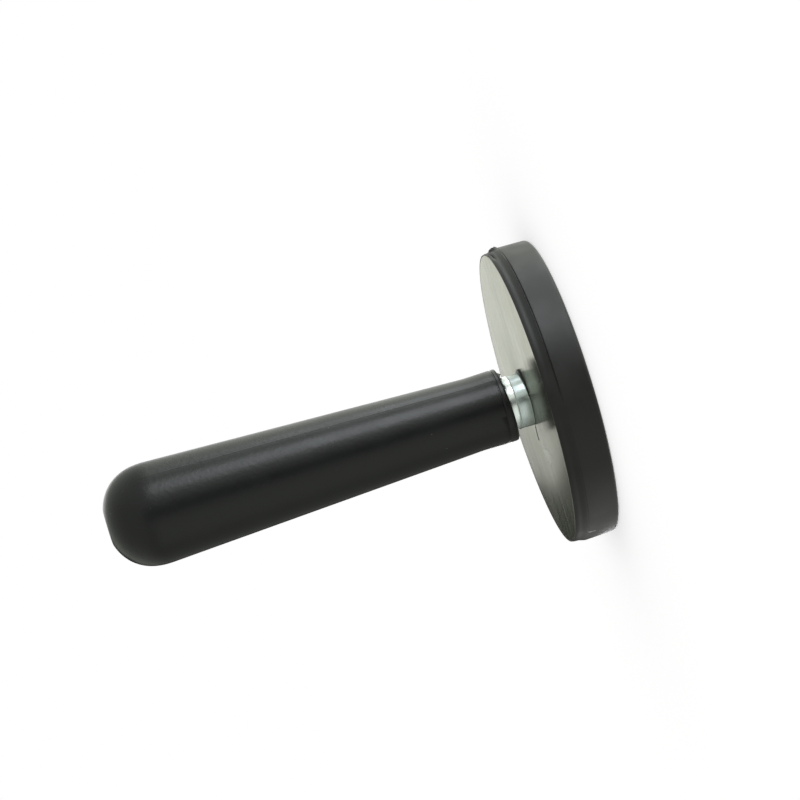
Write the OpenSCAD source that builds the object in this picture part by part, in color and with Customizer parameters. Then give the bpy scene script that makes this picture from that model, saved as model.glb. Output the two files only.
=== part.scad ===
// Magnetic holder: a rubber-jacketed disc magnet with a moulded hand grip screwed to its back.
// It stands on its magnet face at z = 0, with the grip's axis along +Z. Sizes are in millimetres.

/* [Magnet body] */
// Outer diameter of the rubber jacket
jacket_d = 66; // [50:1:90]
// Thickness of the rubber over the magnets at the contact face
face_skin = 1.3; // [0.8:0.1:3]
// Height of each disc magnet
magnet_h = 6; // [3:0.5:10]
// Number of disc magnets in the ring, even because their poles alternate
magnet_count = 12; // [6:2:16]
// Rubber between neighbouring magnets
magnet_web = 2; // [1:0.1:4]
// Distance from the back plate's rim to the magnets
magnet_inset = 4; // [2:0.5:8]
// Bevel round both ends of a magnet
magnet_bevel = 0.3; // [0.1:0.1:0.8]
// Thickness of the steel back plate
plate_t = 2.5; // [2:0.1:5]

/* [Jacket rim] */
// Width of the rubber lip round the back plate
lip_w = 0.3; // [0.2:0.1:2]
// How far the tapered band draws in towards the back, on the radius
back_taper = 0.55; // [0.2:0.05:1.5]
// Height of the tapered band, from the parting groove to the back
back_band_h = 2.6; // [1.5:0.1:4]
// Width of the parting groove
groove_w = 0.5; // [0.2:0.1:1]
// Depth of the parting groove
groove_depth = 0.2; // [0.1:0.05:0.4]
// How far the straight band draws in towards the front, on the radius
front_draft = 0.15; // [0.05:0.05:0.6]
// Radius of the rounded front edge
front_round = 0.85; // [0.4:0.05:2]
// Diameter of the gate nub at its root
gate_d = 2; // [1:0.1:3]
// Height of the gate nub over the tapered band
gate_h = 0.6; // [0.3:0.1:0.9]
// Height of the gate nub's middle over the parting groove
gate_rise = 0.6; // [0:0.1:1.5]
// Direction of the gate nub round the axis, in degrees
gate_angle = -5; // [-180:5:180]

/* [Bush and insert] */
// Diameter of the bush at the back plate and of the insert's flange
collar_d = 12; // [10:0.5:15]
// Height of the bush over the back plate
bush_h = 2.9; // [1.5:0.1:8]
// How far the bush draws in towards the insert's flange, on the radius
bush_taper = 0.2; // [0.05:0.05:0.6]
// Height of the insert's flange
flange_h = 1.7; // [1:0.1:6]
// Bevel on the edges of the bush and the flange
collar_bevel = 0.25; // [0.1:0.05:0.6]
// Width of the seat on which the bush rests on the back plate
seat_w = 1.3; // [0.8:0.1:1.8]
// Height of the swaged end that holds the bush in the plate
swage_h = 0.8; // [0.4:0.1:1.5]
// Nominal thread diameter
thread_d = 6; // [4:1:7]
// Bevel on the thread's mouth and on the stud's end
thread_bevel = 0.6; // [0.3:0.1:0.9]
// Distance from the stud's end to the magnet side of the plate
stud_short = 0.6; // [0.3:0.1:1.5]
// Length of the insert's round neck inside the grip
shank_neck_h = 4; // [2:0.5:8]
// Diameter of the insert's round neck
shank_neck_d = 8; // [6:0.5:9]
// Size across the flats of the insert's hexagon
hex_flats = 10; // [9.5:0.5:11.5]
// Length of the insert's hexagon
hex_h = 16; // [8:1:30]
// Bevel on both ends of the hexagon
hex_bevel = 1; // [0.5:0.1:1.5]

/* [Grip] */
// Length of the grip
grip_len = 89.6; // [70:0.2:140]
// Diameter of the grip at its domed end
grip_d = 22.4; // [19:0.2:30]
// Diameter of the flat at the end of the dome
end_flat_d = 7; // [2:0.5:14]
// Diameter of the grip at its neck
neck_d = 16.1; // [15:0.1:18.5]
// Length of the neck's straight part
neck_len = 3.5; // [1:0.5:15]
// How far the foot at the grip's base stands out past the neck
foot_step = 0.1; // [0.05:0.05:1]
// Height of the foot
foot_h = 3; // [2.5:0.1:6]
// Height over which the foot runs into the neck
waist_h = 1; // [0.5:0.1:3]
// Radius of the foot's rounded edge
foot_round = 0.5; // [0.2:0.1:0.9]
// Height of the ring line over the grip's base
ring_z = 1.35; // [1.2:0.05:2]
// Width of the ring line
ring_w = 0.3; // [0.2:0.1:0.6]
// Depth of the ring line
ring_depth = 0.15; // [0.05:0.05:0.3]

/* [Fits] */
// Gap all round a piece that the rubber or the grip is moulded over
mould_gap = 0.02; // [0.01:0.01:0.05]
// Gap round the bush's spigot in the plate
press_gap = 0.02; // [0.01:0.01:0.05]
// Gap round the stud in the bush's thread
thread_gap = 0.08; // [0.05:0.01:0.15]

/* [Hidden] */
$fn = 96;
// Margin by which a cutting solid passes the face it cuts
cut = 1;

// Heights of the stack, from the contact face up
plate_z = face_skin + magnet_h;
body_h = plate_z + plate_t;
bush_top = body_h + bush_h;
grip_z = bush_top + flange_h;
grip_top = grip_z + grip_len;

// Jacket
jacket_r = jacket_d / 2;
back_r = jacket_r - back_taper;
band_z = body_h - back_band_h;
front_r = jacket_r - front_draft;
plate_r = back_r - lip_w;
draft_angle = atan2(front_draft, band_z);
round_x = front_r + front_draft * front_round / band_z - front_round / cos(draft_angle);
gate_z = band_z + gate_rise;
gate_root_r = jacket_r - back_taper * gate_rise / back_band_h;

// Magnets, as wide as the ring takes with the rubber between them
magnet_edge_r = plate_r - magnet_inset;
half_step = sin(180 / magnet_count);
magnet_d = (2 * magnet_edge_r * half_step - magnet_web) / (1 + half_step);
magnet_ring_r = magnet_edge_r - magnet_d / 2;
function two_digits(n) = n < 10 ? str("0", n) : str(n);
magnet_names = [for (i = [1 : magnet_count]) str("magnet_", two_digits(i))];

// Bush and insert
collar_r = collar_d / 2;
bush_top_r = collar_r - bush_taper;
thread_r = thread_d / 2;
bore_r = thread_r + thread_gap;
spigot_r = collar_r - seat_w;
swage_r = spigot_r + swage_h;
stud_end_z = plate_z + stud_short;
hex_z = grip_z + shank_neck_h;
hex_top = hex_z + hex_h;

// Grip: the taper leaves the neck as the tangent to the dome
neck_r = neck_d / 2;
foot_r = neck_r + foot_step;
dome_r = grip_d / 2;
dome_z = grip_top - sqrt(pow(dome_r, 2) - pow(end_flat_d / 2, 2));
waist_z = grip_z + foot_h;
neck_z = waist_z + waist_h;
taper_z = neck_z + neck_len;
taper_angle = asin(dome_r / norm([dome_z - taper_z, neck_r])) - atan2(neck_r, dome_z - taper_z);

// Outline of the jacket, with a rounded front edge and a parting groove
module jacket_outline() {
    difference() {
        union() {
            polygon([
                [0, 0],
                [round_x, 0],
                [round_x + front_round * cos(draft_angle), front_round * (1 - sin(draft_angle))],
                [jacket_r, band_z],
                [back_r, body_h],
                [0, body_h]
            ]);
            translate([round_x, front_round]) circle(r = front_round);
        }
        polygon([
            [jacket_r - groove_depth, band_z],
            [jacket_r + cut, band_z - groove_w / 2 * (1 + cut / groove_depth)],
            [jacket_r + cut, band_z + groove_w / 2 * (1 + cut / groove_depth)]
        ]);
    }
}

// Small cone of rubber left where the mould was filled
module gate_nub() {
    root_depth = gate_h;
    rotate([0, 0, gate_angle])
        translate([gate_root_r - root_depth, 0, gate_z])
            rotate([0, 90, 0])
                cylinder(h = root_depth + gate_h, d1 = gate_d + gate_h, d2 = gate_d - gate_h);
}

// Disc with both ends bevelled, grown all round by gap
module magnet_disc(gap = 0) {
    r = magnet_d / 2 + gap;
    rotate_extrude()
        polygon([
            [0, 0],
            [r - magnet_bevel, 0],
            [r, magnet_bevel],
            [r, magnet_h - magnet_bevel],
            [r - magnet_bevel, magnet_h],
            [0, magnet_h]
        ]);
}

// Place of magnet number i in the ring
module at_magnet(i) {
    rotate([0, 0, (i - 0.5) * 360 / magnet_count])
        translate([magnet_ring_r, 0, face_skin])
            children();
}

module magnet(i) {
    color("silver") at_magnet(i) magnet_disc();
}

module rubber_jacket() {
    color([0.16, 0.16, 0.16])
        difference() {
            union() {
                rotate_extrude() jacket_outline();
                gate_nub();
            }
            translate([0, 0, plate_z]) cylinder(h = plate_t + cut, r = plate_r + mould_gap);
            for (i = [1 : magnet_count]) at_magnet(i) magnet_disc(mould_gap);
        }
}

module back_plate() {
    hole_r = spigot_r + press_gap;
    color([0.66, 0.66, 0.63])
        rotate_extrude()
            polygon([
                [hole_r + swage_h, plate_z],
                [plate_r, plate_z],
                [plate_r, body_h],
                [hole_r, body_h],
                [hole_r, plate_z + swage_h]
            ]);
}

module plate_bush() {
    color([0.8, 0.84, 0.86])
        rotate_extrude()
            polygon([
                [bore_r, plate_z],
                [swage_r, plate_z],
                [spigot_r, plate_z + swage_h],
                [spigot_r, body_h],
                [collar_r - collar_bevel, body_h],
                [collar_r, body_h + collar_bevel],
                [bush_top_r, bush_top - collar_bevel],
                [bush_top_r - collar_bevel, bush_top],
                [bore_r + thread_bevel, bush_top],
                [bore_r, bush_top - thread_bevel]
            ]);
}

// Part of the insert inside the grip, grown all round by gap and started lower by below
module insert_shank(gap = 0, below = 0) {
    neck = shank_neck_d / 2 + gap;
    tip = hex_flats / 2 + gap;
    corner = tip / cos(30);
    top = hex_top + gap;
    translate([0, 0, grip_z - below]) cylinder(h = shank_neck_h + hex_bevel + below, r = neck);
    intersection() {
        translate([0, 0, hex_z - gap]) cylinder(h = hex_h + 2 * gap, r = corner, $fn = 6);
        rotate_extrude()
            polygon([
                [0, hex_z - gap],
                [tip - hex_bevel, hex_z - gap],
                [corner, hex_z - gap + hex_bevel],
                [corner, top - hex_bevel],
                [tip - hex_bevel, top],
                [0, top]
            ]);
    }
}

module insert_stud() {
    color([0.8, 0.84, 0.86]) {
        insert_shank();
        rotate_extrude()
            polygon([
                [0, stud_end_z],
                [thread_r - thread_bevel, stud_end_z],
                [thread_r, stud_end_z + thread_bevel],
                [thread_r, bush_top],
                [collar_r - collar_bevel, bush_top],
                [collar_r, bush_top + collar_bevel],
                [collar_r, grip_z - collar_bevel],
                [collar_r - collar_bevel, grip_z],
                [0, grip_z]
            ]);
    }
}

// Outline of the grip: rounded foot, waist, taper and cut dome
module grip_outline() {
    difference() {
        union() {
            polygon([
                [0, grip_z],
                [foot_r - foot_round, grip_z],
                [foot_r, grip_z + foot_round],
                [foot_r, waist_z],
                [neck_r, neck_z],
                [neck_r, taper_z],
                [dome_r * cos(taper_angle), dome_z - dome_r * sin(taper_angle)],
                [0, dome_z]
            ]);
            translate([foot_r - foot_round, grip_z + foot_round]) circle(r = foot_round);
            intersection() {
                translate([0, dome_z]) circle(r = dome_r);
                translate([0, grip_z]) square([dome_r, grip_len]);
            }
        }
        translate([foot_r - ring_depth, grip_z + ring_z]) square([ring_depth + cut, ring_w]);
    }
}

module grip() {
    color([0.13, 0.13, 0.14])
        difference() {
            rotate_extrude() grip_outline();
            insert_shank(mould_gap, cut);
        }
}

grip();
insert_stud();
plate_bush();
back_plate();
rubber_jacket();
for (i = [1 : magnet_count]) magnet(i);
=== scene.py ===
import math

import bmesh
import bpy
from mathutils import Matrix, Vector, noise


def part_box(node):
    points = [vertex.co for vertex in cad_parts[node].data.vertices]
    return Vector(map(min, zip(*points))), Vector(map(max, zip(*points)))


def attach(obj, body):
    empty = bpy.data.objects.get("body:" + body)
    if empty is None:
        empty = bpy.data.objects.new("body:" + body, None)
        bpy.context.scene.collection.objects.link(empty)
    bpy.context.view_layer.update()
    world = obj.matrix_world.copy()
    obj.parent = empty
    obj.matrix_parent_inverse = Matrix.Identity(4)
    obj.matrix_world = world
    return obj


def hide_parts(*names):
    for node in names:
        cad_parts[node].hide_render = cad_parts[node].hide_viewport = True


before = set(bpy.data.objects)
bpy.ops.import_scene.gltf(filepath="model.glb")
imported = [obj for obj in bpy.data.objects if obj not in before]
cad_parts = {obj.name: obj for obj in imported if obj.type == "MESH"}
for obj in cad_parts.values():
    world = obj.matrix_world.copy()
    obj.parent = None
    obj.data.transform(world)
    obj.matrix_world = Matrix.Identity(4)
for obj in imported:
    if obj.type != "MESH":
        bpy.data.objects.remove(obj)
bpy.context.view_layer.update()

# Lengths below are in millimetres; meshes and lights are made in metres
MM = 0.001

# Slack used where the place of a point is compared with a size
TOUCH = 0.01


def node_box(name):
    """Lowest and highest corner of a solid, in millimetres."""
    low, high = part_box(name)
    return low / MM, high / MM


# Sizes taken from the solids
plate_low, plate_high = node_box("back_plate")
insert_low, insert_high = node_box("insert_stud")
grip_low, grip_high = node_box("grip")
jacket_low = node_box("rubber_jacket")[0]
bush_high = node_box("plate_bush")[1]
JACKET_R = -jacket_low.x
BODY_TOP = plate_high.z
PLATE_Z = plate_low.z
PLATE_R = plate_high.x
COLLAR_R = bush_high.x
SEAM_Z = bush_high.z
GRIP_Z = grip_low.z
GRIP_TOP = grip_high.z
DOME_R = grip_high.x
MAGNETS = sorted(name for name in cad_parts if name.startswith("magnet_"))

# Gap round a piece that is moulded over
MOULD_GAP = 0.02

# Edges that bend more than this, in degrees, are sharp on hard pieces and on soft ones
HARD_EDGE = 32
SOFT_EDGE = 60

# Insert
STUD_R = 3.0
THREAD_BEVEL = 0.6
FLANGE_TAPER = 0.13
FLANGE_LEAN = 0.14
FLANGE_LEAN_SIDE = math.radians(-20)
FLANGE_ROUND = 0.17
FLANGE_MIDDLE = (SEAM_Z + GRIP_Z) / 2
SHANK_NECK_R = 4.0
HEX_Z = GRIP_Z + 4
HEX_TOP = insert_high.z
HEX_TURN = math.pi / 3
HEX_FLAT_R = 5.0
HEX_CORNER_R = HEX_FLAT_R / math.cos(HEX_TURN / 2)
HEX_BEVEL = 1.0
HEX_BEVEL_STEPS = 4
INSERT_SIDES = 180

# Grip, with its socket for the insert
SOCKET_NECK_R = SHANK_NECK_R + MOULD_GAP
SOCKET_R = 5.8
SOCKET_Z = HEX_Z - MOULD_GAP
SOCKET_TOP = HEX_TOP + MOULD_GAP
GRIP_SIDES = 240
FOOT_R = 8.15
FOOT_TOP = GRIP_Z + 3
FOOT_TOP_IN = 0.01
NECK_Z = FOOT_TOP + 1
NECK_IN = 0.04
TAPER_Z = NECK_Z + 3.5
TAPER_R = 8.05
TAPER_STEPS = 24

# The grip's lower end slants, and one side of it is ragged
END_FACE_R = COLLAR_R + 0.15
END_FACE_STEPS = 4
END_ROUND = 0.5
END_ROUND_START = -75
END_ROUND_STEPS = 6
END_SLANT = 0.4
END_DROP = 0.05
RAGGED_SIDE = math.radians(-30)
RAGGED_FULL = 0.75

# Ring line near the grip's lower end
RING_Z = GRIP_Z + 1.35
RING_W = 0.3
RING_DEPTH = 0.17
RING_LEAST = 0.2
RING_BELOW = 0.6
RING_BELOW_STEPS = 3

# Dome and the flat at its end; its angles are in degrees from the widest place
END_FLAT_R = 3.7
END_SOFT = 0.4
DOME_Z = GRIP_TOP - math.sqrt(DOME_R ** 2 - END_FLAT_R ** 2)
DOME_POWER = 2.24
DOME_START = -3.5
DOME_STEPS = 40
DOME_END = 70.5
DOME_END_STEPS = 8

# The mould's two halves met on this line and on the one opposite
PARTING_ANGLE = math.radians(-44)
PARTING_H = 0.035
PARTING_W = 0.12
PARTING_FADE = 5
PARTING_FULL = 16
PARTING_REACH = 0.06
PARTING_POINTS = 25

# Ragged skin of plastic left over the collar; its section is (way out, share of its depth)
FLASH_IN = COLLAR_R + 0.05
FLASH_SECTION = [(0, -0.1), (0, 0.9), (0.1, 1), (0.35, 0.85), (0.9, 0.4), (1.7, -0.1)]
FLASH_LEAST = 0.06
FLASH_THINNEST = 0.05
FLASH_H = 0.7
FLASH_MEAN = 0.5
FLASH_SIDES = 480

# Raggedness of the skin's edge as (share, waves, seed)
FLASH_WAVES = [(0.7, 18, 3.1), (0.3, 52, 7.7)]

# One tongue of the skin stands out
TONGUE_ANGLE = math.radians(4)
TONGUE_W = 0.3
TONGUE_H = 0.85
TONGUE_OUT = 0.45

# Jacket: contact face, rounded front edge and drafted band
JACKET_SIDES = 300
BAND_Z = BODY_TOP - 2.6
BACK_R = JACKET_R - 0.55
FRONT_R = JACKET_R - 0.15
FRONT_ROUND = 0.85
FRONT_STEPS = 10
FACE_R = FRONT_R - FRONT_ROUND - 6
DRAFT_Z = 2
DRAFT_R = FRONT_R + 0.03
DRAFT_TOP_Z = BAND_Z - 1.2
DRAFT_TOP_R = JACKET_R - 0.02
DRAFT_STEPS = 4
BAND_EDGE_Z = BAND_Z - 0.7
BAND_EDGE_TOP = BAND_Z - 0.38
BAND_EDGE_STEPS = 3

# Parting groove as (way in from the band, height over the band's edge), deep on one side
GROOVE_DEPTH = 0.28
GROOVE_H = 0.3
GROOVE_SECTION = [(0.04, -0.29), (GROOVE_DEPTH, -0.18), (GROOVE_DEPTH, -0.06), (0.08, 0.04)]
GROOVE_SIDE = math.radians(-58)
GROOVE_FADE = 0.75
GROOVE_FULL = 0.95
GROOVE_LEAST = 0.25
GROOVE_UNEVEN = 0.35
GROOVE_WAVES = 60
GROOVE_SEED = 5.2

# Step above the groove, tapered band and lip
STEP_IN = 0.24
STEP_UP = 0.6
STEP_BEND_IN = 0.7
STEP_BEND_UP = 0.5
BAND_BOW = 0.04
BAND_STEPS = 24
LIP_ROUND = 0.14
LIP_START = 15
LIP_STEPS = 4
LIP_BEVEL = 0.03
LIP_BEVEL_H = 0.05

# Filling point on the rim, rough where it was torn off
GATE_ANGLE = math.radians(-5)
GATE_Z = BAND_Z + 0.6
GATE_R = 1.35
GATE_TOP_R = 0.45
GATE_H = 0.58
GATE_MEAN = 0.85
GATE_ROUGH = 0.3
GATE_ROUGH_SCALE = 2.5

# Torn lip beside the filling point, with a slit under it
SLIT_Z = BODY_TOP - 0.75
SLIT_W = 0.25
SLIT_DEPTH = 0.6
TEAR_DEPTH = 0.22
TEAR_START = math.radians(5)
TEAR_END = math.radians(-24)
TEAR_FULL = TEAR_END * 0.6
TEAR_LIP_Z = BODY_TOP - 0.2
TEAR_BAND_Z = BODY_TOP - 1.1
TEAR_TOP = BODY_TOP - 0.1
TEAR_MIDDLE = math.radians(-8)
TEAR_REACH = 0.24
TEAR_POINTS = 120

POCKET_SIDES = 32

# Plate
PLATE_SIDES = 300
PLATE_UNDER_ROUND = 0.15
PLATE_EDGE_ROUND = 0.12
HOLE_ROUND = 0.1

# Bush
BUSH_SIDES = 128
BUSH_ROUND = 0.2
BUSH_TOP_ROUND = 0.17
BUSH_TAPER = 0.2
BUSH_LEAN = 0.1
BUSH_LEAN_Z = SEAM_Z - 0.3
BUSH_LIFT = 0.52
BUSH_LIFT_POWER = 1.5
BUSH_HIGH_SIDE = math.radians(-8)
SPIGOT_R = COLLAR_R - 1.3
SWAGE = 0.8
BORE_R = 3.08

# Dark ring under the bush that fills the gap under its lifted edge with painted shade; its section is
# (radius, share of its height)
GAP_SHADE_IN = SPIGOT_R + 0.1
GAP_SHADE_OUT = COLLAR_R - 0.1
GAP_SHADE_ROUND = 0.25
GAP_SHADE_SECTION = [(GAP_SHADE_IN, 0), (GAP_SHADE_OUT, 0), (GAP_SHADE_OUT, 0.6), (GAP_SHADE_OUT - GAP_SHADE_ROUND, 0.95), (GAP_SHADE_IN, 0.1)]
GAP_SHADE_LEAST = 0.06
GAP_SHADE_SQUEEZE = 1.1

# Strand of the compound on the plate: it runs along -X and hooks to one side
STRAND_START = -6.0
STRAND_END = -9.6
STRAND_SIDE = -0.7
STRAND_BEND = 2.2
STRAND_HOOK = 1.1
STRAND_STEPS = 20
STRAND_W = 0.22
STRAND_H = 0.09
STRAND_TIP = 0.35
STRAND_TIP_SHARE = 0.1
STRAND_SECTION = [(-0.5, 0), (-0.3, 0.7), (0, 1), (0.3, 0.7), (0.5, 0)]


def smooth_step(low, high, value):
    """0 at low, 1 at high, and a smooth change between them."""
    share = min(1.0, max(0.0, (value - low) / (high - low)))
    return share * share * (3 - 2 * share)


def angle_gap(angle, centre):
    """Signed angle from centre, the short way round."""
    return (angle - centre + math.pi) % (2 * math.pi) - math.pi


def ripple(angle, waves, seed):
    """Even noise from -1 to 1 round the axis, about as many waves as asked for."""
    reach = waves / (2 * math.pi)
    return noise.noise(Vector((reach * math.cos(angle), reach * math.sin(angle), seed)))


def arc(centre_r, centre_z, radius, start, end, steps):
    """Points of an arc in the r-z plane, angles in degrees from the +r axis."""
    turn = [math.radians(start + (end - start) * i / steps) for i in range(steps + 1)]
    return [(centre_r + radius * math.cos(t), centre_z + radius * math.sin(t)) for t in turn]


def rounded(points, steps=6):
    """Outline of (r, z, radius) corners with each corner rounded to its radius."""
    outline = []
    for i, (r, z, radius) in enumerate(points):
        here = Vector((r, z))
        if radius == 0:
            outline.append((r, z))
            continue
        before = (Vector(points[i - 1][:2]) - here).normalized()
        after = (Vector(points[(i + 1) % len(points)][:2]) - here).normalized()
        half = before.angle(after) / 2
        middle = here + (before + after).normalized() * radius / math.sin(half)
        first = here + before * radius / math.tan(half) - middle
        last = here + after * radius / math.tan(half) - middle
        sweep = first.angle_signed(last)
        for step in range(steps + 1):
            spoke = Matrix.Rotation(-sweep * step / steps, 2) @ first
            outline.append(tuple(middle + spoke))
    return outline


def spread(start, end, steps):
    """Points along a straight line, both ends included."""
    first, last = Vector(start), Vector(end)
    return [tuple(first.lerp(last, i / steps)) for i in range(steps + 1)]


def even_angles(count):
    return [2 * math.pi * i / count for i in range(count)]


def with_fine(angles, centre, half_width, count):
    """The same angles with a finer run of them round centre."""
    coarse = [a for a in angles if abs(angle_gap(a, centre)) > half_width]
    fine = [centre + half_width * (2 * i / (count - 1) - 1) for i in range(count)]
    return sorted((a % (2 * math.pi)) for a in coarse + fine)


def turned(outline, angles, shape=None, closed=False):
    """Mesh of an outline turned about the axis; shape(angle, r, z) may move a point."""
    work = bmesh.new()
    rows = []
    for r, z in outline:
        if r == 0:
            pole = work.verts.new((0, 0, z * MM))
            rows.append([pole] * len(angles))
            continue
        row = []
        for angle in angles:
            here_r, here_z = shape(angle, r, z) if shape else (r, z)
            place = (here_r * math.cos(angle), here_r * math.sin(angle), here_z)
            row.append(work.verts.new(Vector(place) * MM))
        rows.append(row)
    pairs = list(zip(rows, rows[1:]))
    if closed:
        pairs.append((rows[-1], rows[0]))
    for low, high in pairs:
        for i in range(len(angles)):
            j = (i + 1) % len(angles)
            corners = [low[i], low[j], high[j], high[i]]
            face = [v for k, v in enumerate(corners) if v is not corners[k - 1]]
            if len(face) > 2:
                work.faces.new(face)
    return work


def new_object(name, data):
    """Object of a mesh, light or camera, placed in the scene."""
    made = bpy.data.objects.new(name, data)
    bpy.context.scene.collection.objects.link(made)
    return made


def new_mesh(name, work):
    mesh = bpy.data.meshes.new(name)
    work.to_mesh(mesh)
    work.free()
    return mesh


def piece(name, work, edge=HARD_EDGE):
    """Object of a finished mesh, smooth but for its sharp edges, on the holder's body."""
    bmesh.ops.recalc_face_normals(work, faces=work.faces)
    mesh = new_mesh(name, work)
    mesh.polygons.foreach_set("use_smooth", [True] * len(mesh.polygons))
    mesh.set_sharp_from_angle(angle=math.radians(edge))
    made = new_object(name, mesh)
    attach(made, "root")
    return made


# Grip

def ragged_share(angle):
    """1 on the side where the grip's end is ragged, 0 where it is clean."""
    return smooth_step(0, RAGGED_FULL, math.cos(angle_gap(angle, RAGGED_SIDE)))


def end_rise(angle):
    """The grip's end isn't square: how far it lies above its mean height."""
    return END_SLANT * math.cos(angle) - END_DROP


def grip_shape(angle, r, z):
    """Parting ridges along the grip, its uneven ring line and its end, which isn't square."""
    if r > SOCKET_R and z > RING_Z + RING_W:
        ridge = PARTING_H * smooth_step(GRIP_TOP - PARTING_FADE, GRIP_TOP - PARTING_FULL, z)
        for seam in (PARTING_ANGLE, PARTING_ANGLE + math.pi):
            off = angle_gap(angle, seam) * r / PARTING_W
            r += ridge * math.exp(-off * off)
    elif r > FOOT_R - RING_DEPTH - TOUCH and RING_Z < z < RING_Z + RING_W:
        r = FOOT_R - RING_DEPTH * (RING_LEAST + (1 - RING_LEAST) * ragged_share(angle))
    elif r > END_FACE_R - TOUCH and z < RING_Z:
        z += end_rise(angle) * (RING_Z - z) / (RING_Z - GRIP_Z)
    return r, z


def dome_point(degrees):
    """Point of the dome, a little squarer than a ball; 0 degrees is its widest place."""
    share = 1 - (END_FLAT_R / DOME_R) ** DOME_POWER
    height = (GRIP_TOP - DOME_Z) / share ** (1 / DOME_POWER)
    turn = math.radians(degrees)
    out = math.cos(turn) ** (2 / DOME_POWER)
    up = math.copysign(abs(math.sin(turn)) ** (2 / DOME_POWER), turn)
    return DOME_R * out, DOME_Z + height * up


def dome_end():
    """Soft corner between the dome and the flat at its end."""
    first = Vector(dome_point(DOME_END))
    corner = Vector((END_FLAT_R, GRIP_TOP))
    last = Vector((END_FLAT_R - END_SOFT, GRIP_TOP))
    bend = []
    for step in range(DOME_END_STEPS + 1):
        t = step / DOME_END_STEPS
        bend.append(tuple(first * (1 - t) ** 2 + corner * 2 * t * (1 - t) + last * t * t))
    return bend


def socket_outline():
    """The grip's inside, from its top down to the end face."""
    outline = [(0, SOCKET_TOP), (SOCKET_R, SOCKET_TOP), (SOCKET_R, SOCKET_Z)]
    return outline + [(SOCKET_NECK_R, SOCKET_Z), (SOCKET_NECK_R, GRIP_Z), (COLLAR_R, GRIP_Z)]


def grip_outline():
    """The grip's outside: end face, foot with its ring line, taper, dome and flat."""
    corner_r, ring_r = FOOT_R - END_ROUND, FOOT_R - RING_DEPTH
    outline = spread((END_FACE_R, GRIP_Z), (corner_r, GRIP_Z), END_FACE_STEPS)
    outline += arc(corner_r, GRIP_Z + END_ROUND, END_ROUND, END_ROUND_START, 0, END_ROUND_STEPS)
    outline += spread((FOOT_R, RING_Z - RING_BELOW), (FOOT_R, RING_Z), RING_BELOW_STEPS)
    outline += [(ring_r, RING_Z + RING_W / 3), (ring_r, RING_Z + RING_W * 2 / 3)]
    outline += [(FOOT_R, RING_Z + RING_W), (FOOT_R - FOOT_TOP_IN, FOOT_TOP), (FOOT_R - NECK_IN, NECK_Z)]
    outline += spread((TAPER_R, TAPER_Z), dome_point(DOME_START), TAPER_STEPS)
    for step in range(1, DOME_STEPS):
        outline.append(dome_point(DOME_START + (DOME_END - DOME_START) * step / DOME_STEPS))
    return outline + dome_end() + [(0, GRIP_TOP)]


def make_grip():
    angles = even_angles(GRIP_SIDES)
    for seam in (PARTING_ANGLE, PARTING_ANGLE + math.pi):
        angles = with_fine(angles, seam, PARTING_REACH, PARTING_POINTS)
    return piece("grip_body", turned(socket_outline() + grip_outline(), angles, grip_shape))


# Ragged skin over the collar

def tongue(angle):
    """1 on the one tongue of the skin that stands out over the collar."""
    return math.exp(-(angle_gap(angle, TONGUE_ANGLE) / TONGUE_W) ** 2)


def flash_depth(angle):
    """How far the skin hangs over the collar below the grip's end."""
    ragged = FLASH_MEAN + sum(share * ripple(angle, waves, seed) for share, waves, seed in FLASH_WAVES)
    return FLASH_LEAST + FLASH_H * ragged_share(angle) * ragged + TONGUE_H * tongue(angle)


def flash_shape(angle, r, z):
    """Hangs the skin's section, one millimetre deep as drawn, to its real depth."""
    share = GRIP_Z - z
    r += TONGUE_OUT * tongue(angle) * max(0, share)
    return r, GRIP_Z + end_rise(angle) - share * max(FLASH_THINNEST, flash_depth(angle))


def make_flash():
    section = [(FLASH_IN + out, GRIP_Z - share) for out, share in FLASH_SECTION]
    work = turned(section, even_angles(FLASH_SIDES), flash_shape, closed=True)
    return piece("moulding_flash", work, SOFT_EDGE)


# Rubber jacket

def groove_share(angle):
    """The parting groove is deepest on one side and uneven all the way round."""
    deep = smooth_step(GROOVE_FADE, GROOVE_FULL, math.cos(angle_gap(angle, GROOVE_SIDE)))
    uneven = 1 + GROOVE_UNEVEN * ripple(angle, GROOVE_WAVES, GROOVE_SEED)
    return (GROOVE_LEAST + (1 - GROOVE_LEAST) * deep) * uneven


def torn_share(angle):
    """1 where the lip is torn away beside the filling point."""
    turn = angle_gap(angle, 0)
    return smooth_step(TEAR_END, TEAR_FULL, turn) * (1 - smooth_step(0, TEAR_START, turn))


def gate_rise(angle, r, z):
    """Height of the filling point's torn stub over the rim."""
    across = angle_gap(angle, GATE_ANGLE) * r
    away = math.hypot(across, z - GATE_Z)
    torn = GATE_MEAN + GATE_ROUGH * noise.noise(Vector((across, z, 0)) * GATE_ROUGH_SCALE)
    return GATE_H * torn * (1 - smooth_step(GATE_TOP_R, GATE_R, away))


def jacket_shape(angle, r, z):
    """Filling point, the torn lip beside it and the uneven parting groove."""
    tear = TEAR_DEPTH * torn_share(angle)
    if r < BACK_R - LIP_ROUND - TOUCH:
        return r, z - tear * smooth_step(TEAR_LIP_Z, TEAR_TOP, z)
    if -GROOVE_H < z - BAND_Z < 0:
        r = JACKET_R - (JACKET_R - r) * groove_share(angle)
    r += gate_rise(angle, r, z)
    r -= SLIT_DEPTH * torn_share(angle) * math.exp(-((z - SLIT_Z) / SLIT_W) ** 2)
    return r, z - tear * smooth_step(TEAR_BAND_Z, TEAR_TOP, z)


def tapered_band():
    """Points of the slightly bowed band between the step and the lip."""
    low, top = BAND_Z + STEP_UP, BODY_TOP - LIP_ROUND
    low_r = JACKET_R - STEP_IN
    band = []
    for step in range(BAND_STEPS + 1):
        share = step / BAND_STEPS
        bow = BAND_BOW * math.sin(2 * math.pi * share)
        band.append((low_r + (BACK_R - low_r) * share - bow, low + (top - low) * share))
    return band


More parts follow.
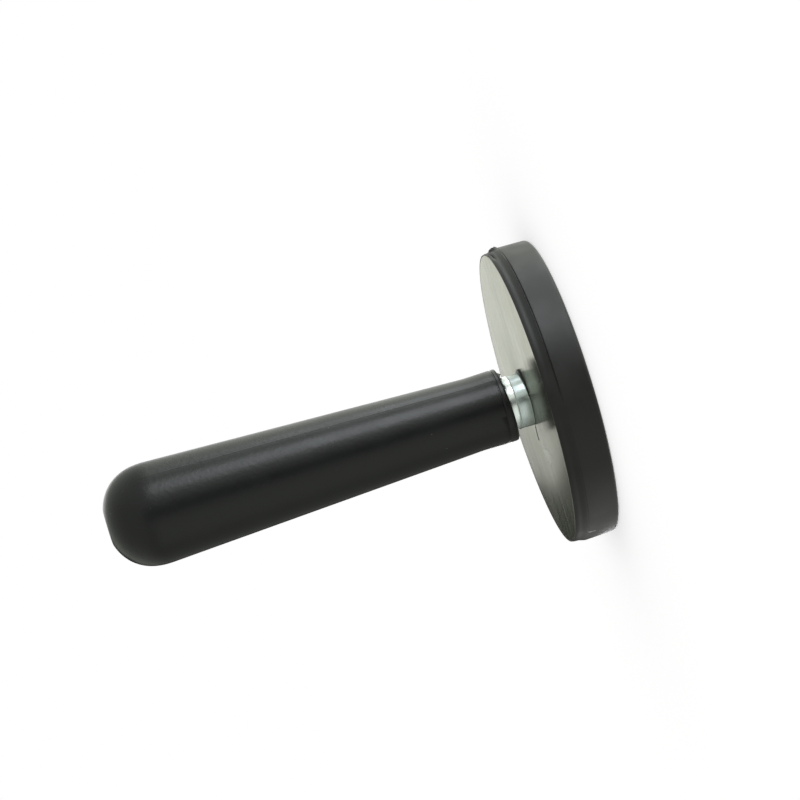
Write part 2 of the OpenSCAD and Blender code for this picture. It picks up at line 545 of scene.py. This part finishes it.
def jacket_outline():
    """Contact face, rounded front edge, drafted band, groove, tapered band, lip and recess."""
    recess_r = PLATE_R + MOULD_GAP
    outline = [(0, 0), (FACE_R, 0)]
    outline += arc(FRONT_R - FRONT_ROUND, FRONT_ROUND, FRONT_ROUND, -90, 0, FRONT_STEPS)
    outline += spread((DRAFT_R, DRAFT_Z), (DRAFT_TOP_R, DRAFT_TOP_Z), DRAFT_STEPS)
    outline += spread((JACKET_R, BAND_EDGE_Z), (JACKET_R, BAND_EDGE_TOP), BAND_EDGE_STEPS)
    outline += [(JACKET_R - way_in, BAND_Z + up) for way_in, up in GROOVE_SECTION]
    outline += [(JACKET_R - STEP_IN * STEP_BEND_IN, BAND_Z + STEP_UP * STEP_BEND_UP)]
    outline += tapered_band()
    outline += arc(BACK_R - LIP_ROUND, BODY_TOP - LIP_ROUND, LIP_ROUND, LIP_START, 90, LIP_STEPS)
    outline += [(recess_r + LIP_BEVEL, BODY_TOP), (recess_r, BODY_TOP - LIP_BEVEL_H)]
    return outline + [(recess_r, PLATE_Z)]


def add_pockets(work, rim):
    """Floor of the jacket's recess, with a pocket for each magnet."""
    edges = [edge for v in rim for edge in v.link_edges if edge.other_vert(v) in rim]
    for name in MAGNETS:
        low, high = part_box(name)
        centre = (low + high) / 2
        radius = (high.x - low.x) / 2 + MOULD_GAP * MM
        loops = []
        for height in (PLATE_Z * MM, low.z - MOULD_GAP * MM):
            ring = []
            for angle in even_angles(POCKET_SIDES):
                spot = (centre.x + radius * math.cos(angle), centre.y + radius * math.sin(angle), height)
                ring.append(work.verts.new(spot))
            loops.append(ring)
        top, bottom = loops
        for i in range(POCKET_SIDES):
            work.faces.new((top[i - 1], top[i], bottom[i], bottom[i - 1]))
        work.faces.new(bottom)
        edges += [work.edges.get((top[i - 1], top[i])) for i in range(POCKET_SIDES)]
    bmesh.ops.triangle_fill(work, edges=list(dict.fromkeys(edges)), use_beauty=True)


def make_jacket():
    angles = with_fine(even_angles(JACKET_SIDES), TEAR_MIDDLE, TEAR_REACH, TEAR_POINTS)
    work = turned(jacket_outline(), angles, jacket_shape)
    last_row = list(work.verts)[-len(angles):]
    add_pockets(work, last_row)
    return piece("jacket", work)


# Plate, bush and insert

def make_plate():
    hole = SPIGOT_R + MOULD_GAP
    section = [
        (hole + SWAGE, PLATE_Z, 0),
        (PLATE_R, PLATE_Z, PLATE_UNDER_ROUND),
        (PLATE_R, BODY_TOP, PLATE_EDGE_ROUND),
        (hole, BODY_TOP, HOLE_ROUND),
        (hole, PLATE_Z + SWAGE, 0),
    ]
    return piece("plate", turned(rounded(section), even_angles(PLATE_SIDES), closed=True))


def bush_lift(angle):
    """How far the bush's edge stands off the plate: more on one side than on the other."""
    return BUSH_LIFT * max(0, math.cos(angle_gap(angle, BUSH_HIGH_SIDE))) ** BUSH_LIFT_POWER


def bush_shape(angle, r, z):
    """Lifts the bush's lower edge off the plate and draws its top in on the same side."""
    if r > SPIGOT_R and BODY_TOP - TOUCH < z < BODY_TOP + BUSH_ROUND + TOUCH:
        z += bush_lift(angle) * (r - SPIGOT_R) / (COLLAR_R - SPIGOT_R)
    elif r > SPIGOT_R and z > BUSH_LEAN_Z:
        r -= BUSH_LEAN * math.cos(angle)
    return r, z


def make_bush():
    section = [
        (BORE_R, PLATE_Z, 0),
        (SPIGOT_R + SWAGE, PLATE_Z, 0),
        (SPIGOT_R, PLATE_Z + SWAGE, 0),
        (SPIGOT_R, BODY_TOP, 0),
        (COLLAR_R, BODY_TOP, BUSH_ROUND),
        (COLLAR_R - BUSH_TAPER, SEAM_Z, BUSH_TOP_ROUND),
        (BORE_R + THREAD_BEVEL, SEAM_Z, 0),
        (BORE_R, SEAM_Z - THREAD_BEVEL, 0),
    ]
    return piece("collar_bush", turned(rounded(section), even_angles(BUSH_SIDES), bush_shape, closed=True))


def insert_shape(angle, r, z):
    """Draws the flange in on one side and cuts the insert's upper end to a hexagon."""
    if r > SHANK_NECK_R and FLANGE_MIDDLE < z < HEX_Z:
        r -= FLANGE_LEAN * math.cos(angle_gap(angle, FLANGE_LEAN_SIDE))
    elif z > HEX_Z:
        r = min(r, HEX_FLAT_R / math.cos(angle % HEX_TURN - HEX_TURN / 2))
    return r, z


def make_insert():
    """Stud, flange, neck and hexagon of the insert, turned in one."""
    section = [
        (0, insert_low.z, 0),
        (STUD_R - THREAD_BEVEL, insert_low.z, 0),
        (STUD_R, insert_low.z + THREAD_BEVEL, 0),
        (STUD_R, SEAM_Z, 0),
        (COLLAR_R, SEAM_Z, FLANGE_ROUND),
        (COLLAR_R - FLANGE_TAPER, GRIP_Z, FLANGE_ROUND),
        (SHANK_NECK_R, GRIP_Z, 0),
    ]
    outline = rounded(section)
    outline += spread((SHANK_NECK_R, HEX_Z), (HEX_CORNER_R, HEX_Z + HEX_BEVEL), HEX_BEVEL_STEPS)
    outline += spread((HEX_CORNER_R, HEX_TOP - HEX_BEVEL), (SHANK_NECK_R, HEX_TOP), HEX_BEVEL_STEPS)
    outline += [(0, HEX_TOP)]
    return piece("insert", turned(outline, even_angles(INSERT_SIDES), insert_shape))


# Dark ring of painted shade under the bush, and a strand on the plate

def gap_shade_shape(angle, r, z):
    """Squeezes the dark ring out most where the bush stands off the plate."""
    lift = bush_lift(angle)
    height = (z - BODY_TOP) * (lift + GAP_SHADE_LEAST)
    return r + (r - SPIGOT_R) * GAP_SHADE_SQUEEZE * lift, BODY_TOP + height


def make_gap_shade():
    """Dark ring of painted shade in the gap under the bush, squeezed out where the bush stands off the
    plate; its section is drawn one millimetre high.
    """
    section = [(r, BODY_TOP + share) for r, share in GAP_SHADE_SECTION]
    return piece("bush_gap_shade", turned(section, even_angles(BUSH_SIDES), gap_shade_shape, closed=True), SOFT_EDGE)


def make_strand():
    """Thin strand of the compound, stuck to the plate beside the bush."""
    work = bmesh.new()
    rows = []
    for step in range(STRAND_STEPS + 1):
        share = step / STRAND_STEPS
        x = STRAND_START + (STRAND_END - STRAND_START) * share
        y = STRAND_SIDE + STRAND_BEND * share - STRAND_HOOK * share * share
        full = smooth_step(0, STRAND_TIP_SHARE, min(share, 1 - share))
        size = STRAND_TIP + (1 - STRAND_TIP) * full
        row = []
        for across, height in STRAND_SECTION:
            spot = (x, y + across * size * STRAND_W, BODY_TOP + height * size * STRAND_H)
            row.append(work.verts.new(Vector(spot) * MM))
        rows.append(row)
    for low, high in zip(rows, rows[1:]):
        for i in range(len(low)):
            work.faces.new((low[i - 1], low[i], high[i], high[i - 1]))
    work.faces.new(rows[0])
    work.faces.new(rows[-1])
    return piece("seal_strand", work, SOFT_EDGE)


# Shader nodes

VALUE = "NodeSocketFloat"
VECTOR = "NodeSocketVector"

# Range that most of a noise texture's values lie in
NOISE_RANGE = (0.3, 0.7)


def add(tree, kind, inputs=None, **settings):
    """New node with its settings; an input is a value or another node's output."""
    node = tree.nodes.new("ShaderNode" + kind)
    for name, value in settings.items():
        setattr(node, name, value)
    for key, value in (inputs or {}).items():
        if isinstance(value, bpy.types.NodeSocket):
            tree.links.new(value, node.inputs[key])
        else:
            node.inputs[key].default_value = value
    return node


def use(tree, made, inputs):
    """Outputs of a shader group placed in a material."""
    return add(tree, "Group", inputs, node_tree=made).outputs


def math_of(tree, operation, first, second):
    return add(tree, "Math", {0: first, 1: second}, operation=operation).outputs[0]


def remap(tree, value, low, high, to_low=0.0, to_high=1.0):
    """Smooth change of a value from one range to another."""
    inputs = {"Value": value, "From Min": low, "From Max": high, "To Min": to_low, "To Max": to_high}
    return add(tree, "MapRange", inputs, interpolation_type="SMOOTHSTEP").outputs["Result"]


def mix_colour(tree, factor, first, second):
    return add(tree, "Mix", {0: factor, 6: first, 7: second}, data_type="RGBA").outputs[2]


def mix_value(tree, factor, first, second):
    return add(tree, "Mix", {0: factor, 2: first, 3: second}, data_type="FLOAT").outputs[0]


def group(name, inputs, outputs):
    """Empty shader node group with its sockets; an input is (name, kind, value)."""
    made = bpy.data.node_groups.new(name, "ShaderNodeTree")
    for label, kind, value in inputs:
        socket = made.interface.new_socket(label, in_out="INPUT", socket_type=kind)
        if value is not None:
            socket.default_value = value
    for label in outputs:
        made.interface.new_socket(label, in_out="OUTPUT", socket_type=VALUE)
    start = made.nodes.new("NodeGroupInput")
    end = made.nodes.new("NodeGroupOutput")
    return made, start.outputs, end.inputs


def moulded_grain():
    """Fine skin of a moulded surface and the slow change of its tone; sizes in millimetres."""
    sockets = [("Vector", VECTOR, None), ("Grain Size", VALUE, 0.3), ("Tone Size", VALUE, 8.0)]
    made, given, out = group("moulded_grain", sockets, ["Height", "Tone"])
    fine = math_of(made, "DIVIDE", 1 / MM, given["Grain Size"])
    slow = math_of(made, "DIVIDE", 1 / MM, given["Tone Size"])
    grain = add(made, "TexNoise", {"Vector": given["Vector"], "Scale": fine, "Detail": 3.0})
    tone = add(made, "TexNoise", {"Vector": given["Vector"], "Scale": slow, "Detail": 4.0})
    made.links.new(grain.outputs[0], out["Height"])
    made.links.new(remap(made, tone.outputs[0], *NOISE_RANGE), out["Tone"])
    return made


def scattered_specks():
    """Scattered small specks; Share is how many of the cells hold one."""
    sockets = [
        ("Vector", VECTOR, None),
        ("Spacing", VALUE, 2.0),
        ("Share", VALUE, 0.2),
        ("Speck", VALUE, 0.1),
    ]
    made, given, out = group("scattered_specks", sockets, ["Mask"])
    scale = math_of(made, "DIVIDE", 1 / MM, given["Spacing"])
    cells = add(made, "TexVoronoi", {"Vector": given["Vector"], "Scale": scale})
    pick = add(made, "SeparateColor", {0: cells.outputs["Color"]})
    chosen = math_of(made, "LESS_THAN", pick.outputs[0], given["Share"])
    size = math_of(made, "MULTIPLY", given["Speck"], pick.outputs[1])
    near = math_of(made, "LESS_THAN", cells.outputs["Distance"], size)
    made.links.new(math_of(made, "MULTIPLY", chosen, near), out["Mask"])
    return made


def scratch_line():
    """Soft uneven mark along a straight line from Start to End, in millimetres."""
    sockets = [
        ("Vector", VECTOR, None),
        ("Start", VECTOR, (0, 0, 0)),
        ("End", VECTOR, (1, 0, 0)),
        ("Width", VALUE, 0.1),
    ]
    made, given, out = group("scratch_line", sockets, ["Mask"])
    full_width = 0.3
    faint = 0.35
    uneven_range = (0.3, 0.65)

    def vector(operation, inputs):
        return add(made, "VectorMath", inputs, operation=operation).outputs

    spot = vector("SCALE", {0: given["Vector"], "Scale": 1 / MM})[0]
    line = vector("SUBTRACT", {0: given["End"], 1: given["Start"]})[0]
    reach = vector("SUBTRACT", {0: spot, 1: given["Start"]})[0]
    reached = vector("DOT_PRODUCT", {0: reach, 1: line})[1]
    along = math_of(made, "DIVIDE", reached, vector("DOT_PRODUCT", {0: line, 1: line})[1])
    held = add(made, "Clamp", {0: along}).outputs[0]
    foot = vector("SCALE", {0: line, "Scale": held})[0]
    away = vector("LENGTH", {0: vector("SUBTRACT", {0: reach, 1: foot})[0]})[1]
    share = math_of(made, "DIVIDE", away, given["Width"])
    near = remap(made, share, full_width, 1.0, 1.0, 0.0)
    broken = add(made, "TexNoise", {"Vector": spot, "Scale": 1.5, "Detail": 3.0}).outputs[0]
    mask = math_of(made, "MULTIPLY", near, remap(made, broken, *uneven_range, faint, 1.0))
    made.links.new(mask, out["Mask"])
    return made


def machined_lines():
    """Fine parallel tool marks; Vector is squeezed along the way that they run."""
    sockets = [("Vector", VECTOR, None), ("Pitch", VALUE, 0.1)]
    made, given, out = group("machined_lines", sockets, ["Height", "Tone"])
    wide_share = 0.12
    scale = math_of(made, "DIVIDE", 1 / MM, given["Pitch"])
    wide_scale = math_of(made, "MULTIPLY", scale, wide_share)
    fine = add(made, "TexNoise", {"Vector": given["Vector"], "Scale": scale, "Detail": 2.0})
    wide = add(made, "TexNoise", {"Vector": given["Vector"], "Scale": wide_scale})
    made.links.new(fine.outputs[0], out["Height"])
    made.links.new(remap(made, wide.outputs[0], *NOISE_RANGE), out["Tone"])
    return made


GRAIN = moulded_grain()
SPECKS = scattered_specks()
SCRATCH = scratch_line()
LINES = machined_lines()


# Marks of use, each (start, end, width) in millimetres

def on_band(degrees, z):
    """Place on the jacket's outer band."""
    angle = math.radians(degrees)
    return (JACKET_R * math.cos(angle), JACKET_R * math.sin(angle), z)


PLATE_SCUFFS = [
    ((-12.0, -2.9, BODY_TOP), (-13.0, -5.6, BODY_TOP), 1.5),
    ((-12.7, -5.4, BODY_TOP), (-14.2, -7.0, BODY_TOP), 1.3),
    ((-12.4, -4.0, BODY_TOP), (-12.6, -8.5, BODY_TOP), 1.2),
]
JACKET_SCUFFS = [
    (on_band(-159.4, 7.0), on_band(-159.7, 6.75), 0.2),
    (on_band(-159.8, 6.6), on_band(-160.0, 6.2), 0.24),
    (on_band(-160.1, 6.0), on_band(-160.4, 5.5), 0.2),
]


def marks(tree, place, lines):
    """One mask for several marks."""
    total = None
    for start, end, width in lines:
        mark = use(tree, SCRATCH, {"Vector": place, "Start": start, "End": end, "Width": width})["Mask"]
        total = mark if total is None else math_of(tree, "MAXIMUM", total, mark)
    return total


# Finishes

MOULDING_IOR = 1.4


def new_material(name):
    """New material and its Principled shader."""
    made = bpy.data.materials.new(name)
    made.use_nodes = True
    return made, made.node_tree.nodes["Principled BSDF"]


def material(name):
    """New material with its tree, Principled shader and object coordinates."""
    made, shader = new_material(name)
    tree = made.node_tree
    return made, tree, shader, add(tree, "TexCoord").outputs["Object"]


def matte_paint(name, colour):
    """Rough material of one colour, and its shader."""
    made, shader = new_material(name)
    shader.inputs["Base Color"].default_value = colour
    shader.inputs["Roughness"].default_value = 1.0
    return made, shader


def tint(tree, mask, share, under, over):
    """Colour over another one where the mask is, as strong as the share says."""
    return mix_colour(tree, math_of(tree, "MULTIPLY", mask, share), under, over)


def vary_roughness(tree, shader, tone, smoothest, roughest):
    tree.links.new(remap(tree, tone, 0, 1, smoothest, roughest), shader.inputs["Roughness"])


def raise_normal(tree, shader, height, depth):
    """Bump from a height, as deep as given in millimetres."""
    bump = add(tree, "Bump", {"Height": height, "Distance": depth * MM})
    tree.links.new(bump.outputs["Normal"], shader.inputs["Normal"])


def stretched(tree, place, factors):
    return add(tree, "VectorMath", {0: place, 1: factors}, operation="MULTIPLY").outputs[0]


def grip_plastic():
    """Black satin plastic with an uneven skin and a few pale specks, which stand for dust and for small
    painted glints.
    """
    made, tree, shader, place = material("grip_plastic")
    deep_black = (0.0037, 0.0042, 0.0049, 1)
    pale_black = (0.0051, 0.0057, 0.0065, 1)
    speck_grey = (0.3, 0.3, 0.29, 1)
    grain = use(tree, GRAIN, {"Vector": place, "Grain Size": 0.9, "Tone Size": 9.0})
    specks = use(tree, SPECKS, {"Vector": place, "Spacing": 1.3, "Share": 0.09, "Speck": 0.1})
    body = mix_colour(tree, grain["Tone"], deep_black, pale_black)
    # Pale specks for dust and for the small glints along the highlight: painted glints
    tree.links.new(tint(tree, specks["Mask"], 0.4, body, speck_grey), shader.inputs["Base Color"])
    vary_roughness(tree, shader, grain["Tone"], 0.27, 0.32)
    shader.inputs["IOR"].default_value = MOULDING_IOR
    raise_normal(tree, shader, grain["Height"], 0.028)
    return made


def jacket_rubber():
    """Black rubber with dust in its skin and small pale scuffs on the band."""
    made, tree, shader, place = material("jacket_rubber")
    deep_black = (0.007, 0.007, 0.007, 1)
    pale_black = (0.0105, 0.0105, 0.0103, 1)
    speck_grey = (0.3, 0.3, 0.28, 1)
    scuff_grey = (0.75, 0.75, 0.7, 1)
    grain = use(tree, GRAIN, {"Vector": place, "Grain Size": 0.25, "Tone Size": 7.0})
    specks = use(tree, SPECKS, {"Vector": place, "Spacing": 1.5, "Share": 0.04, "Speck": 0.06})
    body = mix_colour(tree, grain["Tone"], deep_black, pale_black)
    body = tint(tree, specks["Mask"], 0.2, body, speck_grey)
    body = tint(tree, marks(tree, place, JACKET_SCUFFS), 0.95, body, scuff_grey)
    tree.links.new(body, shader.inputs["Base Color"])
    vary_roughness(tree, shader, grain["Tone"], 0.42, 0.5)
    shader.inputs["IOR"].default_value = MOULDING_IOR
    raise_normal(tree, shader, grain["Height"], 0.012)
    return made


def bare_steel():
    """Rolled steel with fine lines along X, a mottled tone and a dull scuff."""
    made, tree, shader, place = material("bare_steel")
    dull_steel = (0.57, 0.575, 0.545, 1)
    bright_steel = (0.65, 0.655, 0.625, 1)
    mottle_grey = (0.42, 0.42, 0.39, 1)
    scuff_grey = (0.85, 0.85, 0.8, 1)
    edge_grey = (0.44, 0.45, 0.4, 1)
    scuff_roughness = 0.5
    scuff_metal = 0.55
    lines = use(tree, LINES, {"Vector": stretched(tree, place, (0.02, 1.0, 1.0)), "Pitch": 0.12})
    grain = use(tree, GRAIN, {"Vector": place, "Grain Size": 0.4, "Tone Size": 9.0})
    mottle = use(tree, GRAIN, {"Vector": place, "Tone Size": 1.4})
    scuff = marks(tree, place, PLATE_SCUFFS)
    body = mix_colour(tree, grain["Tone"], dull_steel, bright_steel)
    body = tint(tree, mottle["Tone"], 0.25, body, mottle_grey)
    tree.links.new(tint(tree, scuff, 0.6, body, scuff_grey), shader.inputs["Base Color"])
    rough = remap(tree, lines["Tone"], 0, 1, 0.21, 0.26)
    tree.links.new(mix_value(tree, scuff, rough, scuff_roughness), shader.inputs["Roughness"])
    tree.links.new(remap(tree, scuff, 0, 1, 1.0, scuff_metal), shader.inputs["Metallic"])
    shader.inputs["Specular Tint"].default_value = edge_grey
    raise_normal(tree, shader, lines["Height"], 0.001)
    return made


def zinc_plate(name, dull, bright, smoothest, roughest):
    """Zinc on turned steel, with fine lines round the axis."""
    made, tree, shader, place = material(name)
    lines = use(tree, LINES, {"Vector": stretched(tree, place, (0.02, 0.02, 1.0)), "Pitch": 0.1})
    grain = use(tree, GRAIN, {"Vector": place, "Grain Size": 0.5, "Tone Size": 3.0})
    tree.links.new(mix_colour(tree, grain["Tone"], dull, bright), shader.inputs["Base Color"])
    vary_roughness(tree, shader, grain["Tone"], smoothest, roughest)
    shader.inputs["Metallic"].default_value = 1.0
    raise_normal(tree, shader, lines["Height"], 0.002)
    return made


def magnet_nickel():
    """Nickel plating on a sintered magnet."""
    made, tree, shader, place = material("magnet_nickel")
    dull_nickel = (0.55, 0.52, 0.46, 1)
    bright_nickel = (0.66, 0.63, 0.57, 1)
    grain = use(tree, GRAIN, {"Vector": place, "Grain Size": 0.2, "Tone Size": 4.0})
    tree.links.new(mix_colour(tree, grain["Tone"], dull_nickel, bright_nickel), shader.inputs["Base Color"])
    vary_roughness(tree, shader, grain["Tone"], 0.2, 0.32)
    shader.inputs["Metallic"].default_value = 1.0
    raise_normal(tree, shader, grain["Height"], 0.004)
    return made


# Camera

CAMERA_PLACE = (7.69, -601.13, 87.46)
CAMERA_PITCH = math.radians(90 - 4.88)
CAMERA_ROLL = math.radians(-107.1)
CAMERA_LENS = 126
CAMERA_SENSOR = 36
CAMERA_NEAREST = 10


def make_camera():
    data = bpy.data.cameras.new("camera")
    data.lens = CAMERA_LENS
    data.sensor_width = CAMERA_SENSOR
    data.clip_start = CAMERA_NEAREST * MM
    made = new_object("camera", data)
    turn = Matrix.Rotation(CAMERA_PITCH, 4, "X") @ Matrix.Rotation(CAMERA_ROLL, 4, "Z")
    made.matrix_world = Matrix.Translation(Vector(CAMERA_PLACE) * MM) @ turn
    bpy.context.scene.camera = made


# Soft boxes and cards; bearings are in degrees from the front, towards +X

# Tall soft boxes as (first and last bearing, lowest and highest place, radiance)
STRIP_BOXES = {
    "strip_front": ((42, 68), (-600, 110), 4.7),
    "strip_side": ((90, 108), (-600, 70), 3.6),
}
STRIP_DISTANCE = 700
STRIP_TINT = (0.945, 0.99, 1.08)

# Share of a strip's height up to which it keeps its full brightness
STRIP_FADE = 0.765

# Pale cards as (middle, bearing, width and height, radiance): two by the jacket's side, one behind
PALE_CARDS = {
    "low_card": ((-38, 105, -49), -90, (200, 100), 5.0),
    "side_card": ((-38, -13.5, -10.5), -90, (33, 39), 0.6),
    "back_card": ((117, 690, 150), 170.4, (257, 900), 0.6),
}

# Dark card behind the part on its shaded side
SHADE_Y = 1500
SHADE_EDGE = -90
SHADE_END = -760
SHADE_LOW = -500
SHADE_HIGH = 900
SHADE_GREY = (0.05, 0.05, 0.05, 1)


def outward(bearing):
    """Level direction from the part on a bearing."""
    turn = math.radians(bearing)
    return Vector((math.sin(turn), -math.cos(turn), 0))


def area_light(name, place, bearing, size, radiance):
    """Upright rectangle of light that faces back along its bearing, hidden from the camera."""
    width, height = (length * MM for length in size)
    data = bpy.data.lights.new(name, "AREA")
    data.shape = "RECTANGLE"
    data.size = width
    data.size_y = height
    data.energy = radiance * math.pi * width * height
    made = new_object(name, data)
    made.location = Vector(place) * MM
    made.rotation_euler = outward(bearing).to_track_quat("Z", "Y").to_euler()
    made.visible_camera = False
    return made


def strip_box(name, bearings, heights, radiance):
    """Tall soft box between two bearings and two heights, fading at its top."""
    first, last = bearings
    low, high = heights
    bearing = (first + last) / 2
    width = 2 * STRIP_DISTANCE * math.tan(math.radians(last - first) / 2)
    place = outward(bearing) * STRIP_DISTANCE + Vector((0, 0, (low + high) / 2))
    data = area_light(name, place, bearing, (width, high - low), radiance).data
    data.color = STRIP_TINT
    data.use_nodes = True
    tree = data.node_tree
    spot = add(tree, "SeparateXYZ", {0: add(tree, "NewGeometry").outputs["Parametric"]}).outputs["Y"]
    tree.links.new(remap(tree, spot, STRIP_FADE, 1.0, 1.0, 0.0), tree.nodes["Emission"].inputs["Strength"])


def pale_card(name, place, bearing, size, radiance):
    """Pale card that shows in reflections alone."""
    area_light(name, place, bearing, size, radiance).visible_diffuse = False


def make_shade_card():
    """Dark card that shows in reflections alone."""
    work = bmesh.new()
    near_side = [(SHADE_EDGE, SHADE_LOW), (SHADE_EDGE, SHADE_HIGH)]
    far_side = [(SHADE_END, SHADE_HIGH), (SHADE_END, SHADE_LOW)]
    work.faces.new([work.verts.new(Vector((x, SHADE_Y, z)) * MM) for x, z in near_side + far_side])
    made = new_object("shade_card", new_mesh("shade_card", work))
    made.data.materials.append(matte_paint("shade_cloth", SHADE_GREY)[0])
    made.visible_camera = False
    made.visible_diffuse = False
    made.visible_shadow = False


# World and floor

# Brightness of the studio at the horizon and below it, by bearing in degrees from the front
HORIZON = [
    (-90, 0.5),
    (-67, 0.8),
    (-45, 0.86),
    (-25, 0.8),
    (-12, 0.56),
    (-5, 0.17),
    (5, 0.17),
    (14, 0.5),
    (29, 1.1),
    (44, 1.6),
    (74, 1.5),
    (88, 1.5),
    (112, 2.0),
    (140, 1.7),
    (165, 1.4),
    (178, 1.3),
    (181, 0.95),
    (182.2, 0.48),
    (183.2, 0.1),
    (185, 0.05),
    (192, 0.1),
    (216, 0.22),
    (244, 0.34),
    (270, 0.5),
]
HORIZON_TOP = 2.0
HORIZON_START = -90
ROOM_TINT = (0.96, 1.0, 0.9, 1)
WHITE = (1, 1, 1, 1)

# Brightness of the room above the table
DARK_LEVEL = 0.42
SIDE_LEVEL = 0.75
CEILING_LEVEL = 0.82
DIM_CEILING = 0.67
CAMERA_SHADE = 0.4

# How much lower the table's edge lies on the bright side
TABLE_DROP = 0.15

# Ranges of a direction's X, Y or Z over which one part of the room passes into the next
SIDE_X = (-0.1, 0.6)
CEILING_X = (0.25, 0.85)
CEILING_Z = (0.12, 0.45)
CAMERA_Y = (-0.98, -0.92)
TABLE_X = (-0.3, 0.3)
TABLE_Z = (0.04, 0.16)
BACKDROP_Y = (0.84, 0.95)

FLOOR_REACH = 3000
FLOOR_DROP = 0.02
FLOOR_COLOUR = (0.67, 0.64, 0.71, 1)
FLOOR_GLOW = 0.575


def horizon_level(tree, place):
    """Brightness along the horizon in the direction of a place."""
    around = add(tree, "TexGradient", {0: place}, gradient_type="RADIAL").outputs["Fac"]
    ramp = add(tree, "ValToRGB", {0: around})
    stops = ramp.color_ramp.elements
    while len(stops) < len(HORIZON):
        stops.new(0.5)
    for stop, (bearing, level) in zip(stops, HORIZON):
        share = level / HORIZON_TOP
        stop.position = (bearing - HORIZON_START) / 360
        stop.color = (share, share, share, 1)
    return math_of(tree, "MULTIPLY", ramp.outputs["Color"], HORIZON_TOP)


def make_world():
    """White to the camera and, behind the part, to reflections; elsewhere a table and a darker room."""
    world = bpy.data.worlds.new("studio")
    bpy.context.scene.world = world
    world.use_nodes = True
    tree = world.node_tree
    place = add(tree, "TexCoord").outputs["Generated"]
    way = add(tree, "SeparateXYZ", {0: place}).outputs
    ceiling = remap(tree, way["X"], *CEILING_X, DIM_CEILING, CEILING_LEVEL)
    side = remap(tree, way["X"], *SIDE_X, DARK_LEVEL, SIDE_LEVEL)
    aloft = remap(tree, way["Z"], *CEILING_Z, side, ceiling)
    aloft = math_of(tree, "MULTIPLY", aloft, remap(tree, way["Y"], *CAMERA_Y, CAMERA_SHADE, 1.0))
    edge = math_of(tree, "ADD", way["Z"], remap(tree, way["X"], *TABLE_X, 0.0, TABLE_DROP))
    room = mix_value(tree, remap(tree, edge, *TABLE_Z), horizon_level(tree, place), aloft)
    rays = add(tree, "LightPath").outputs
    mirrored = math_of(tree, "MAXIMUM", rays["Is Glossy Ray"], rays["Is Transmission Ray"])
    backdrop = math_of(tree, "MULTIPLY", mirrored, remap(tree, way["Y"], *BACKDROP_Y))
    seen = math_of(tree, "MAXIMUM", rays["Is Camera Ray"], backdrop)
    sky = tree.nodes["Background"]
    tree.links.new(mix_value(tree, seen, room, 1.0), sky.inputs["Strength"])
    tree.links.new(mix_colour(tree, seen, ROOM_TINT, WHITE), sky.inputs["Color"])


def make_floor():
    """Pale floor that shows only its soft shadow."""
    work = bmesh.new()
    bmesh.ops.create_grid(work, x_segments=1, y_segments=1, size=FLOOR_REACH * MM)
    made = new_object("floor", new_mesh("floor", work))
    made.location.z = -FLOOR_DROP * MM
    paper, shader = matte_paint("floor_paper", FLOOR_COLOUR)
    tree = paper.node_tree
    shader.inputs["Specular IOR Level"].default_value = 0.0
    shader.inputs["Emission Color"].default_value = WHITE
    seen = add(tree, "LightPath").outputs["Is Camera Ray"]
    tree.links.new(math_of(tree, "MULTIPLY", seen, FLOOR_GLOW), shader.inputs["Emission Strength"])
    made.data.materials.append(paper)
    made.visible_glossy = False
    made.visible_shadow = False
    made.visible_diffuse = False


def dress(made, finish, slot, *nodes):
    """Gives a piece its material and hides the solids that it stands for; slot is not used."""
    made.data.materials.clear()
    made.data.materials.append(finish)
    if nodes:
        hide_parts(*nodes)


make_camera()
plastic = grip_plastic()
rubber = jacket_rubber()
steel = bare_steel()
insert_zinc = zinc_plate("insert_zinc", (0.86, 0.92, 0.94, 1), (0.92, 0.97, 0.98, 1), 0.16, 0.21)
# The bush has the same zinc plating as the insert, painted darker: painted shade
shaded_bush_zinc = zinc_plate("shaded_bush_zinc", (0.59, 0.665, 0.685, 1), (0.675, 0.745, 0.755, 1), 0.21, 0.28)
nickel = magnet_nickel()
dress(make_grip(), plastic, "grip_plastic", "grip")
dress(make_flash(), plastic, "grip_plastic")
dress(make_jacket(), rubber, "jacket_rubber", "rubber_jacket")
dress(make_plate(), steel, "bare_steel", "back_plate")
dress(make_bush(), shaded_bush_zinc, "zinc_plate", "plate_bush")
dress(make_insert(), insert_zinc, "zinc_plate", "insert_stud")
dress(make_gap_shade(), rubber, "jacket_rubber")
dress(make_strand(), rubber, "jacket_rubber")
for name in MAGNETS:
    dress(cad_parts[name], nickel, "magnet_nickel")

make_world()
for name, (bearings, heights, radiance) in STRIP_BOXES.items():
    strip_box(name, bearings, heights, radiance)
for name, (place, bearing, size, radiance) in PALE_CARDS.items():
    pale_card(name, place, bearing, size, radiance)
make_floor()
make_shade_card()
bpy.context.scene.view_settings.view_transform = "Standard"
